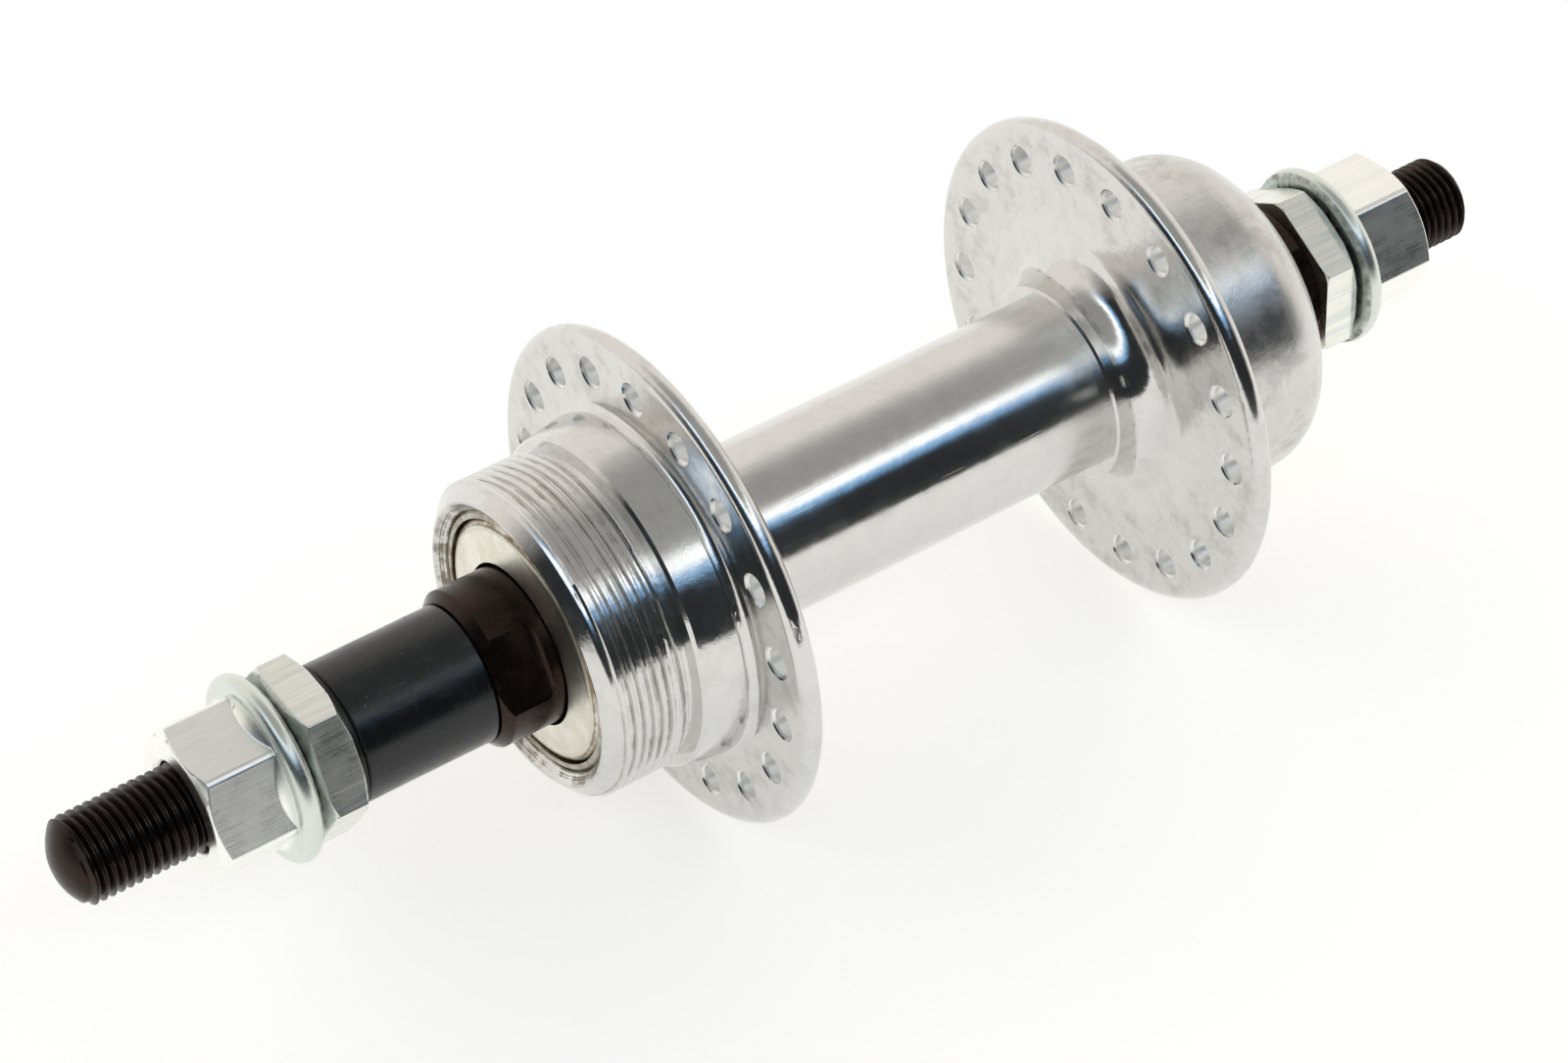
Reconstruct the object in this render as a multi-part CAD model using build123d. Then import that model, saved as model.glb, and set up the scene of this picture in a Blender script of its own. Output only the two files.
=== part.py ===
from build123d import *
from math import acos, asin, cos, degrees, hypot, radians, sin, sqrt, tan
import os

# Rear hub of a bicycle wheel: steel shell for a screw-on freewheel, 36 spokes,
# solid axle, cup and cone bearings. Lengths are millimetres.
# Y runs along the axle with the freewheel (drive) side at -Y. Z is up.
# The origin is on the axle line, midway between the outer faces of the locknuts.
# Distances along the axle are measured outwards from the origin, each on its own side.
over_locknuts = 128.9

# Axle, 3/8 inch, measured over its thread crests
axle_radius = 4.7
axle_past_drive_locknut = 24.95
axle_past_other_locknut = 20.35
axle_tip_sphere = 6.5
axle_shank_radius = 4.3
axle_shank_half_length = 14.0
screwed_bore_gap = 0.05

# Locknuts, lock washer and spacer
locknut_across_flats = 17.0
drive_locknut_thickness = 4.95
other_locknut_thickness = 4.15
drive_locknut_outer_face_radius = 8.0
drive_locknut_inner_face_radius = 8.6
other_locknut_outer_face_radius = 8.6
other_locknut_inner_face_radius = 9.3
locknut_bore_chamfer = 0.35
drive_locknut_corner_angle = 59.85
other_locknut_corner_angle = 93.85
lock_washer_radius = 7.5
lock_washer_thickness = 0.95
lock_washer_edge_chamfer = 0.15
spacer_radius = 7.46
spacer_length = 15.1
spacer_bore_gap = 0.4
spacer_edge_chamfer = 0.3

# Flanged axle nuts, left a little short of the locknuts as in the photograph
nut_to_locknut_gap = 0.5
nut_height = 10.45
nut_across_flats = 15.0
nut_corner_radius = 8.5
nut_end_radius = 7.2
nut_flange_radius = 10.1
nut_flange_rim = 2.2
nut_flange_cone_radius = 8.55
nut_flange_cone_height = 1.05
nut_bore_gap = 0.08
nut_bore_mouth = 0.6
nut_recess_radius = 7.2
nut_recess_depth = 0.7
nut_tooth_count = 24
nut_tooth_depth = 0.6
nut_tooth_width = 1.75
nut_tooth_land = 0.1
nut_tooth_overrun = 0.15
drive_nut_corner_angle = 56.35
other_nut_corner_angle = 65.35
hexagon_chamfer_angle = 30.0

# Bearings: nine quarter inch balls a side, in angular contact
ball_radius = 3.175
ball_count = 9
ball_circle_radius = 10.2
race_radius = 3.35
race_gap = 0.03
contact_angle = 45.0

# Bearing cups, pressed into the shell
cup_wall = 0.95
cup_lip = 5.0
cup_lip_round = 0.4
cup_back = 5.2
cup_back_round = 1.2
cup_race_end_angle = 65.0
cup_throat_radius = 8.9
cup_throat_start = 3.9
cup_below_boss_front = 0.9
cup_below_bell_mouth = 0.2

# Bearing cones
cone_below_ball_circle = 1.65
cone_across_flats = 15.0
cone_flat_corner_radius = 1.2
cone_end_chamfer = 0.95
cone_nose = 1.5
cone_nose_chamfer = 0.45
cone_flats_to_dust_cap = 1.0
cone_flat_angle = 32.0

# Dust caps, pressed sheet
dust_cap_gap_round_cone = 0.35
dust_cap_crown = 5.5
dust_cap_shoulder = 5.1
dust_cap_shoulder_round = 1.2
dust_cap_sheet = 0.7
dust_cap_skirt_end = 2.6
dust_cap_press_gap = 0.02

# Ball cages
cage_gap_round_cone = 0.6
cage_ring_width = 2.1
cage_back = 3.95
cage_finger_end = 0.6
cage_pocket_gap = 0.125

# Spoke flanges
spoke_circle_radius = 23.0
spoke_hole_radius = 1.5
spoke_hole_sink = 0.35
spokes_per_flange = 18
spoke_circle_to_rim = 4.5
flange_thickness = 2.3
flange_rim_round = 1.1
flange_rim_round_share = 0.48
drive_flange_face = 20.7
other_flange_face = 37.9
drive_first_spoke_angle = 16.7
other_first_spoke_angle = 6.9

# Barrel and the collars that hold it
barrel_radius = 9.575
barrel_wall = 1.575
barrel_end_gap = 0.4
collar_wall = 1.375
collar_reach = 5.2
collar_edge_chamfer = 0.25
flare_radius = 3.8

# Freewheel boss and its shoulder
freewheel_thread_radius = 17.4
freewheel_thread_length = 8.9
boss_front_chamfer = 1.8
boss_front_chamfer_length = 1.5
boss_rim_width = 0.2
thread_relief_depth = 0.5
thread_relief_length = 1.4
shoulder_length = 4.9
shoulder_start_radius = 18.2
shoulder_end_radius = 18.9
shoulder_edge_round = 0.35
shoulder_foot_fillet = 1.0

# Bell that houses the other bearing
bell_radius = 18.1
bell_length = 16.3
bell_mouth_radius = 15.1
bell_round_radius = 6.2
bell_foot_fillet = 0.6

# Space inside the shell between the cup and the end of the barrel
shell_well_step = 1.4
shell_well_depth = 4.2

# Sizes that several pieces share
locknut_face = over_locknuts / 2
drive_locknut_inner = locknut_face - drive_locknut_thickness
other_locknut_inner = locknut_face - other_locknut_thickness
race_offset = race_radius - ball_radius - race_gap
race_shift = race_offset * cos(radians(contact_angle))
cone_radius = ball_circle_radius - cone_below_ball_circle
cup_bore_radius = ball_circle_radius - race_shift + race_radius
cup_outer_radius = cup_bore_radius + cup_wall
screwed_bore_radius = axle_radius + screwed_bore_gap
flange_radius = spoke_circle_radius + spoke_circle_to_rim
rim_round = min(flange_rim_round, flange_rim_round_share * flange_thickness)
collar_radius = barrel_radius + collar_wall
shoulder_back = drive_flange_face + shoulder_foot_fillet
shoulder_front = shoulder_back + shoulder_length
thread_end = shoulder_front + thread_relief_length
boss_front = thread_end + freewheel_thread_length
bell_mouth = other_flange_face + bell_length
drive_ball_plane = boss_front - cup_below_boss_front - cup_lip
other_ball_plane = bell_mouth - cup_below_bell_mouth - cup_lip
drive_cone_end = drive_locknut_inner - lock_washer_thickness - spacer_length - drive_ball_plane
other_cone_end = other_locknut_inner - other_ball_plane


def turned(*edges):
    # A solid turned about the axle line. Outlines are drawn with X as radius and Y along the axle.
    return revolve(make_face(edges), axis=Axis.Y)


def turned_points(*points):
    return turned(*Polyline(*points, close=True).edges())


def quarter_arc(start, end, centre):
    # Quarter circle between two points of an outline.
    middle = tuple(c + sqrt(2) * ((a + b) / 2 - c) for a, b, c in zip(start, end, centre))
    return ThreePointArc(start, middle, end)


def other_side(solid, distance):
    # Pieces are drawn with +Y pointing outwards.
    return Pos(0, distance, 0) * solid


def drive_side(solid, distance):
    # The mirror image leaves every angle about the axle as it was.
    return mirror(other_side(solid, distance), about=Plane.XZ)


def hexagon_prism(across_flats, height, corner_angle):
    outline = RegularPolygon(across_flats / 2, 6, major_radius=False, rotation=corner_angle)
    return extrude(Plane.XZ * outline, amount=-height)


def round_the_axle(tool, count, first_angle):
    return [Rot(0, -(first_angle + i * 360 / count), 0) * tool for i in range(count)]


def axle_half(past_locknut):
    # From the middle of the axle out to its tip, which is part of a sphere.
    tip = locknut_face + past_locknut
    centre = tip - axle_tip_sphere
    dome_angle = asin(axle_radius / axle_tip_sphere)
    dome_start = (axle_radius, centre + axle_tip_sphere * cos(dome_angle))
    dome_middle = (axle_tip_sphere * sin(dome_angle / 2), centre + axle_tip_sphere * cos(dome_angle / 2))
    shank_step = axle_radius - axle_shank_radius
    side = Polyline(
        (0, 0),
        (axle_shank_radius, 0),
        (axle_shank_radius, axle_shank_half_length),
        (axle_radius, axle_shank_half_length + shank_step),
        dome_start,
    )
    dome = ThreePointArc(dome_start, dome_middle, (0, tip))
    core = Line((0, tip), (0, 0))
    return turned(*side.edges(), dome, core)


def axle():
    return axle_half(axle_past_other_locknut) + drive_side(axle_half(axle_past_drive_locknut), 0)


def locknut(thickness, inner_face_radius, outer_face_radius, corner_angle):
    # Inner face at y = 0. The corners are turned off at 30 degrees, more deeply on the outer face.
    corner_radius = locknut_across_flats / sqrt(3)
    slope = tan(radians(hexagon_chamfer_angle))
    bore = screwed_bore_radius
    small = locknut_bore_chamfer
    blank = turned_points(
        (bore + small, 0),
        (inner_face_radius, 0),
        (corner_radius, (corner_radius - inner_face_radius) * slope),
        (corner_radius, thickness - (corner_radius - outer_face_radius) * slope),
        (outer_face_radius, thickness),
        (bore + small, thickness),
        (bore, thickness - small),
        (bore, small),
    )
    return blank & hexagon_prism(locknut_across_flats, thickness, corner_angle)


def axle_nut(corner_angle):
    # Toothed contact face at y = 0, hexagon outwards. The rim of the flange is a half circle in
    # section, and a short cone leads from it up to the flats.
    bore = axle_radius + nut_bore_gap
    chamfer_height = (nut_corner_radius - nut_end_radius) * tan(radians(hexagon_chamfer_angle))
    hexagon = turned_points(
        (bore, nut_flange_rim),
        (nut_corner_radius, nut_flange_rim),
        (nut_corner_radius, nut_height - chamfer_height),
        (nut_end_radius, nut_height),
        (bore + nut_bore_mouth, nut_height),
        (bore, nut_height - nut_bore_mouth),
    ) & hexagon_prism(nut_across_flats, nut_height, corner_angle)
    rim_middle = nut_flange_rim / 2
    contact_radius = nut_flange_radius - rim_middle
    cone_end = nut_flange_rim + nut_flange_cone_height
    rim = ThreePointArc(
        (contact_radius, 0), (nut_flange_radius, rim_middle), (contact_radius, nut_flange_rim)
    )
    rest = Polyline(
        (contact_radius, nut_flange_rim),
        (nut_flange_cone_radius, nut_flange_rim),
        (nut_across_flats / 2, cone_end),
        (bore, cone_end),
        (bore, nut_recess_depth + nut_bore_mouth),
        (bore + nut_bore_mouth, nut_recess_depth),
        (nut_recess_radius, nut_recess_depth),
        (nut_recess_radius, 0),
        (contact_radius, 0),
    )
    return hexagon + turned(rim, *rest.edges()) - nut_teeth(contact_radius - nut_tooth_land)


def nut_teeth(outer_radius):
    # Each groove is a V whose floor falls from the smooth rim to the recess round the bore.
    run = outer_radius - nut_recess_radius
    inwards = Plane((outer_radius, 0, 0), x_dir=(0, 0, 1), z_dir=(-run, nut_tooth_depth, 0))
    outline = Polyline(
        (0, 0),
        (nut_tooth_width, -2 * nut_tooth_depth),
        (-nut_tooth_width, -2 * nut_tooth_depth),
        close=True,
    )
    length = hypot(run, nut_tooth_depth) + nut_tooth_overrun
    groove = extrude(make_face(outline.edges()), amount=length)
    return round_the_axle(inwards * groove, nut_tooth_count, 0)


def plain_ring(outer_radius, bore_radius, length, edge_chamfer):
    return turned_points(
        (bore_radius, 0),
        (outer_radius - edge_chamfer, 0),
        (outer_radius, edge_chamfer),
        (outer_radius, length - edge_chamfer),
        (outer_radius - edge_chamfer, length),
        (bore_radius, length),
    )


def race_point(centre_y, centre_radius, angle):
    # Point of a race groove, with the angle measured from +Y towards larger radius.
    return (
        centre_radius + race_radius * sin(radians(angle)),
        centre_y + race_radius * cos(radians(angle)),
    )


def cone(end):
    # Balls at y = 0, outer end at y = end.
    groove_y = -race_shift
    groove_radius = ball_circle_radius + race_shift
    top_angle = -degrees(asin((groove_radius - cone_radius) / race_radius))
    groove_top = race_point(groove_y, groove_radius, top_angle)
    groove_middle = race_point(groove_y, groove_radius, (top_angle - 90) / 2)
    groove_bottom = race_point(groove_y, groove_radius, -90)
    groove = ThreePointArc(groove_top, groove_middle, groove_bottom)
    nose_radius = groove_bottom[0]
    bore = screwed_bore_radius
    rest = Polyline(
        groove_bottom,
        (nose_radius, -cone_nose + cone_nose_chamfer),
        (nose_radius - cone_nose_chamfer, -cone_nose),
        (bore, -cone_nose),
        (bore, end),
        (cone_radius - cone_end_chamfer, end),
        (cone_radius, end - cone_end_chamfer),
        groove_top,
    )
    return turned(groove, *rest.edges()) - wrench_flats(dust_cap_crown + cone_flats_to_dust_cap, end)


def wrench_flats(start, end):
    # Two cutters either side of the axle, each with a rounded corner where the flat runs out.
    reach = 2 * cone_radius
    slab = Box(reach, end - start + 1, 2 * reach, align=(Align.MIN, Align.MIN, Align.CENTER))
    run_out = slab.edges().filter_by(Axis.Z).group_by(Axis.Y)[0].sort_by(Axis.X)[0]
    slab = Pos(cone_across_flats / 2, start, 0) * fillet(run_out, cone_flat_corner_radius)
    return round_the_axle(slab, 2, cone_flat_angle)


def bearing_cup():
    # Balls at y = 0, lip outwards.
    groove_y = race_shift
    groove_radius = ball_circle_radius - race_shift
    bore_top = (cup_bore_radius, groove_y)
    race_end = race_point(groove_y, groove_radius, 90 + cup_race_end_angle)
    groove = ThreePointArc(
        bore_top, race_point(groove_y, groove_radius, 90 + cup_race_end_angle / 2), race_end
    )
    rest = Polyline(
        race_end,
        (cup_throat_radius, -cup_throat_start),
        (cup_throat_radius, -cup_back),
        (cup_outer_radius - cup_back_round, -cup_back),
        (cup_outer_radius, -cup_back + cup_back_round),
        (cup_outer_radius, cup_lip - cup_lip_round),
        (cup_outer_radius - cup_lip_round, cup_lip),
        (cup_bore_radius, cup_lip),
        bore_top,
    )
    return turned(groove, *rest.edges())


def dust_cap():
    # Sheet pressed to a shallow crown, with a rounded shoulder and a skirt that is a press fit in the cup.
    sheet = dust_cap_sheet
    hole_radius = cone_radius + dust_cap_gap_round_cone
    skirt_radius = cup_bore_radius - dust_cap_press_gap
    round_radius = skirt_radius - dust_cap_shoulder_round
    round_start = dust_cap_shoulder - dust_cap_shoulder_round
    centre = (round_radius, round_start)
    outer_round = quarter_arc((round_radius, dust_cap_shoulder), (skirt_radius, round_start), centre)
    skirt = Polyline(
        (skirt_radius, round_start),
        (skirt_radius, dust_cap_skirt_end),
        (skirt_radius - sheet, dust_cap_skirt_end),
        (skirt_radius - sheet, round_start),
    )
    inner_round = quarter_arc(
        (skirt_radius - sheet, round_start), (round_radius, dust_cap_shoulder - sheet), centre
    )
    crown = Polyline(
        (round_radius, dust_cap_shoulder - sheet),
        (hole_radius, dust_cap_crown - sheet),
        (hole_radius, dust_cap_crown),
        (round_radius, dust_cap_shoulder),
    )
    return turned(outer_round, *skirt.edges(), inner_round, *crown.edges())


def at_balls(solid):
    return round_the_axle(Pos(ball_circle_radius, 0, 0) * solid, ball_count, 0)


def balls():
    return Compound(children=at_balls(Sphere(ball_radius)))


def ball_cage():
    inner_radius = cone_radius + cage_gap_round_cone
    outer_radius = inner_radius + cage_ring_width
    ring = turned_points(
        (inner_radius, cage_finger_end),
        (outer_radius, cage_finger_end),
        (outer_radius, cage_back),
        (inner_radius, cage_back),
    )
    return ring - at_balls(Sphere(ball_radius + cage_pocket_gap))


def spoke_holes(face, first_angle):
    # Holes through a flange whose outer face is at y = face, with the barrel towards -Y.
    wide = spoke_hole_radius + spoke_hole_sink
    back = face - flange_thickness
    spool = turned_points(
        (0, back),
        (wide, back),
        (spoke_hole_radius, back + spoke_hole_sink),
        (spoke_hole_radius, face - spoke_hole_sink),
        (wide, face),
        (0, face),
    )
    return round_the_axle(Pos(spoke_circle_radius, 0, 0) * spool, spokes_per_flange, first_angle)


def flange_and_collar(face):
    # Outline of one flange from its outer face over the rim, then down the flare and collar.
    back = face - flange_thickness
    flat_radius = flange_radius - rim_round
    outer_corner = (flat_radius, face - rim_round)
    inner_corner = (flat_radius, back + rim_round)
    flare_end = collar_radius + flare_radius
    flare_start = back - flare_radius
    collar_end = back - collar_reach
    rim = [
        quarter_arc((flat_radius, face), (flange_radius, face - rim_round), outer_corner),
        Line((flange_radius, face - rim_round), (flange_radius, back + rim_round)),
        quarter_arc((flange_radius, back + rim_round), (flat_radius, back), inner_corner),
    ]
    flare = [
        Line((flat_radius, back), (flare_end, back)),
        quarter_arc((flare_end, back), (collar_radius, flare_start), (flare_end, flare_start)),
    ]
    collar = Polyline(
        (collar_radius, flare_start),
        (collar_radius, collar_end + collar_edge_chamfer),
        (collar_radius - collar_edge_chamfer, collar_end),
        (barrel_radius, collar_end),
    )
    return [*rim, *flare, *collar.edges()], collar_end


def foot_and_face(foot_radius, foot_fillet, face):
    # A concave fillet at the foot of the boss or bell, and the flange's flat face out to its rim.
    foot_end = foot_radius + foot_fillet
    foot_start = face + foot_fillet
    return [
        quarter_arc((foot_radius, foot_start), (foot_end, face), (foot_end, foot_start)),
        Line((foot_end, face), (flange_radius - rim_round, face)),
    ]


def shell_inside(collar_end, ball_plane, *mouth):
    # The way in from the barrel's seat to the mouth of the cup's bore.
    seat = ball_plane - cup_back
    well = seat - shell_well_depth
    well_radius = barrel_radius + shell_well_step
    return Polyline(
        (barrel_radius, collar_end),
        (barrel_radius, well),
        (well_radius, well),
        (well_radius, seat),
        (cup_outer_radius, seat),
        *mouth,
    ).edges()


def drive_flange_shell():
    flange, collar_end = flange_and_collar(drive_flange_face)
    thread_radius = freewheel_thread_radius
    relief_radius = thread_radius - thread_relief_depth
    rim_radius = thread_radius - boss_front_chamfer
    mouth_radius = rim_radius - boss_rim_width
    foot_radius = shoulder_end_radius - shoulder_edge_round
    boss = Polyline(
        (mouth_radius, boss_front),
        (rim_radius, boss_front),
        (thread_radius, boss_front - boss_front_chamfer_length),
        (thread_radius, thread_end),
        (relief_radius, thread_end),
        (relief_radius, shoulder_front),
        (shoulder_start_radius - shoulder_edge_round, shoulder_front),
        (shoulder_start_radius, shoulder_front - shoulder_edge_round),
        (shoulder_end_radius, shoulder_back + shoulder_edge_round),
        (foot_radius, shoulder_back),
    )
    inside = shell_inside(
        collar_end,
        drive_ball_plane,
        (cup_outer_radius, boss_front - (mouth_radius - cup_outer_radius)),
        (mouth_radius, boss_front),
    )
    foot = foot_and_face(foot_radius, shoulder_foot_fillet, drive_flange_face)
    blank = turned(*flange, *inside, *boss.edges(), *foot)
    return blank - spoke_holes(drive_flange_face, drive_first_spoke_angle)


def non_drive_flange_shell():
    flange, collar_end = flange_and_collar(other_flange_face)
    centre_radius = bell_radius - bell_round_radius
    round_angle = acos((bell_mouth_radius - centre_radius) / bell_round_radius)
    round_start = bell_mouth - bell_round_radius * sin(round_angle)
    bell_round = ThreePointArc(
        (bell_mouth_radius, bell_mouth),
        (
            centre_radius + bell_round_radius * cos(round_angle / 2),
            round_start + bell_round_radius * sin(round_angle / 2),
        ),
        (bell_radius, round_start),
    )
    side = Line((bell_radius, round_start), (bell_radius, other_flange_face + bell_foot_fillet))
    inside = shell_inside(
        collar_end,
        other_ball_plane,
        (cup_outer_radius, bell_mouth),
        (bell_mouth_radius, bell_mouth),
    )
    foot = foot_and_face(bell_radius, bell_foot_fillet, other_flange_face)
    blank = turned(*flange, *inside, bell_round, side, *foot)
    return blank - spoke_holes(other_flange_face, other_first_spoke_angle)


def hub_barrel():
    # Each end stops just short of the well behind a bearing cup.
    inset = cup_back + shell_well_depth + barrel_end_gap
    start = -drive_ball_plane + inset
    length = other_ball_plane - inset - start
    ring = plain_ring(barrel_radius, barrel_radius - barrel_wall, length, collar_edge_chamfer)
    return Pos(0, start, 0) * ring


def lock_washer():
    return plain_ring(
        lock_washer_radius, screwed_bore_radius, lock_washer_thickness, lock_washer_edge_chamfer
    )


def spacer():
    return plain_ring(spacer_radius, axle_radius + spacer_bore_gap, spacer_length, spacer_edge_chamfer)


drive_locknut = locknut(
    drive_locknut_thickness,
    drive_locknut_inner_face_radius,
    drive_locknut_outer_face_radius,
    drive_locknut_corner_angle,
)
other_locknut = locknut(
    other_locknut_thickness,
    other_locknut_inner_face_radius,
    other_locknut_outer_face_radius,
    other_locknut_corner_angle,
)
nut_contact = locknut_face + nut_to_locknut_gap
washer_start = drive_locknut_inner - lock_washer_thickness

pieces = {
    "axle": axle(),
    "drive_axle_nut": drive_side(axle_nut(drive_nut_corner_angle), nut_contact),
    "non_drive_axle_nut": other_side(axle_nut(other_nut_corner_angle), nut_contact),
    "drive_locknut": drive_side(drive_locknut, drive_locknut_inner),
    "non_drive_locknut": other_side(other_locknut, other_locknut_inner),
    "drive_lock_washer": drive_side(lock_washer(), washer_start),
    "drive_spacer": drive_side(spacer(), washer_start - spacer_length),
    "drive_cone": drive_side(cone(drive_cone_end), drive_ball_plane),
    "non_drive_cone": other_side(cone(other_cone_end), other_ball_plane),
    "drive_balls": drive_side(balls(), drive_ball_plane),
    "non_drive_balls": other_side(balls(), other_ball_plane),
    "drive_ball_cage": drive_side(ball_cage(), drive_ball_plane),
    "non_drive_ball_cage": other_side(ball_cage(), other_ball_plane),
    "drive_bearing_cup": drive_side(bearing_cup(), drive_ball_plane),
    "non_drive_bearing_cup": other_side(bearing_cup(), other_ball_plane),
    "drive_dust_cap": drive_side(dust_cap(), drive_ball_plane),
    "non_drive_dust_cap": other_side(dust_cap(), other_ball_plane),
    "hub_barrel": hub_barrel(),
    "drive_flange_shell": drive_side(drive_flange_shell(), 0),
    "non_drive_flange_shell": non_drive_flange_shell(),
}

os.makedirs("parts", exist_ok=True)
for name, solid in pieces.items():
    export_step(solid, f"parts/{name}.step")
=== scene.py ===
# %% [markdown]
# # A chrome rear hub
#
# The object is the hub of a bicycle's rear wheel: a chrome shell with two spoke flanges,
# turning on a solid axle. Its pieces come from a CAD model at their real size.
# This lesson gives every piece its finish, and makes the things that are too fine for the CAD:
# the thread on the axle, the thread that the freewheel screws on, and worn edges on the nuts.
# Chrome has almost no colour of its own, so the room that it reflects matters as much as the metal.

# %% Load the frame
from math import atan2, cos, hypot, pi, radians, sin, sqrt

import bmesh
import bpy
from mathutils import Matrix, Vector


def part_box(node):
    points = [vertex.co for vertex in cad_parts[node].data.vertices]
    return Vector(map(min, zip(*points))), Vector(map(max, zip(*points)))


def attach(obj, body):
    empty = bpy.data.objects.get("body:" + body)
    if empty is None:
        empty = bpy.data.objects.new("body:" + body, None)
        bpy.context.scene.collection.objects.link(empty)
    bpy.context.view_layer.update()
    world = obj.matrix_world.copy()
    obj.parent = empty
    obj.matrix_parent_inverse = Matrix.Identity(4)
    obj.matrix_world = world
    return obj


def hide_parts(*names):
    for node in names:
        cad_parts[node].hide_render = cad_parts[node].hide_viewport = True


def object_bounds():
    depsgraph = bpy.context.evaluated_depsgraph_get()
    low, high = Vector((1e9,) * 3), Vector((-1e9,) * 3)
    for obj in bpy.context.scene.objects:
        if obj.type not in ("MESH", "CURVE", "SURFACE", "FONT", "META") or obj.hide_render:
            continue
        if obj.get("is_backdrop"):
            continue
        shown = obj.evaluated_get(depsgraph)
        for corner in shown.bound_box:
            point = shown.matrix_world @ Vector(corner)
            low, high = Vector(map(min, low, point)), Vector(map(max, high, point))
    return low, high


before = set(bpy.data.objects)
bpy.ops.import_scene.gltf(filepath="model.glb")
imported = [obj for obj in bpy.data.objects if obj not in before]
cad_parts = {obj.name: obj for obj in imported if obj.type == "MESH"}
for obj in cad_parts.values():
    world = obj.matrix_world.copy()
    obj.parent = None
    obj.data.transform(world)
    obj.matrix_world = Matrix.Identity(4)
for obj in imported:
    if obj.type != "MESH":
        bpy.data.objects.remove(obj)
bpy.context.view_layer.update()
sides = ("drive", "non_drive")
MM = 0.001

print("pieces in the frame:", len(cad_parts))

# %% [markdown]
# ## The camera
#
# The photograph looks down on the hub from above the drive side. A long lens from half a metre
# keeps the far flange almost as large as the near one. Direction, distance and tilt are written
# as a photographer would say them: how far round, how high, how far away, and what it aims at.

# %% Camera
camera_azimuth = radians(54.80)
camera_elevation = radians(44.52)
camera_tilt = radians(0.27)
camera_distance = 523.1 * MM
camera_aim = Vector((-0.07, -4.23, -2.42)) * MM
camera_lens = 117.0


def place_camera():
    back = Vector((
        sin(camera_azimuth) * cos(camera_elevation),
        -cos(camera_azimuth) * cos(camera_elevation),
        sin(camera_elevation),
    ))
    lens = bpy.data.cameras.new("camera")
    lens.lens = camera_lens
    lens.clip_start = 0.01
    lens.clip_end = 20
    camera = bpy.data.objects.new("camera", lens)
    bpy.context.scene.collection.objects.link(camera)
    camera.rotation_mode = "QUATERNION"
    turn = back.to_track_quat("Z", "Y")
    camera.rotation_quaternion = Matrix.Rotation(camera_tilt, 3, back).to_quaternion() @ turn
    camera.location = camera_aim + back * camera_distance
    bpy.context.scene.camera = camera
    return camera


camera = place_camera()
print("camera at", [round(c / MM) for c in camera.location], "mm")

# %% [markdown]
# ## A small kit for shader nodes
#
# Every finish below is a tree of shader nodes. Written out in full, each node takes five or six
# lines, so this class gives the usual ones a short name. Each call adds one node and returns its
# output, ready to go into the next call, which makes a tree read like ordinary sums.


# %% Node kit
class Tree:
    def __init__(self, owner):
        owner.use_nodes = True
        self.tree = owner.node_tree
        self.nodes = self.tree.nodes

    def connect(self, value, socket):
        if isinstance(value, bpy.types.NodeSocket):
            self.tree.links.new(value, socket)
        else:
            socket.default_value = value

    def add(self, kind, inputs=(), output=0, **settings):
        node = self.nodes.new(kind)
        for name, value in settings.items():
            setattr(node, name, value)
        for socket, value in dict(inputs).items():
            self.connect(value, node.inputs[socket])
        return node.outputs[output]

    def maths(self, operation, first, second=0.0):
        return self.add("ShaderNodeMath", {0: first, 1: second}, operation=operation)

    def plus(self, first, second):
        return self.maths("ADD", first, second)

    def times(self, first, second):
        return self.maths("MULTIPLY", first, second)

    def step(self, value, start, end, low=0.0, high=1.0):
        inputs = {0: value, 1: start, 2: end, 3: low, 4: high}
        return self.add("ShaderNodeMapRange", inputs, interpolation_type="SMOOTHSTEP")

    def blend(self, factor, first, second):
        inputs = {0: factor, 6: first, 7: second}
        return self.add("ShaderNodeMix", inputs, output=2, data_type="RGBA")

    def stretched(self, vector, scale):
        return self.add("ShaderNodeVectorMath", {0: vector, 1: scale}, operation="MULTIPLY")

    def noise(self, vector, scale, detail=3.0, roughness=0.55):
        # The scale is about how many lumps there are in a metre: 210 gives clouds of 5 mm.
        inputs = {"Vector": vector, "Scale": scale, "Detail": detail, "Roughness": roughness}
        return self.add("ShaderNodeTexNoise", inputs, output="Fac")

    def bump(self, height, depth, normal=None):
        inputs = {"Height": height, "Distance": depth}
        if normal is not None:
            inputs["Normal"] = normal
        return self.add("ShaderNodeBump", inputs)


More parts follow.
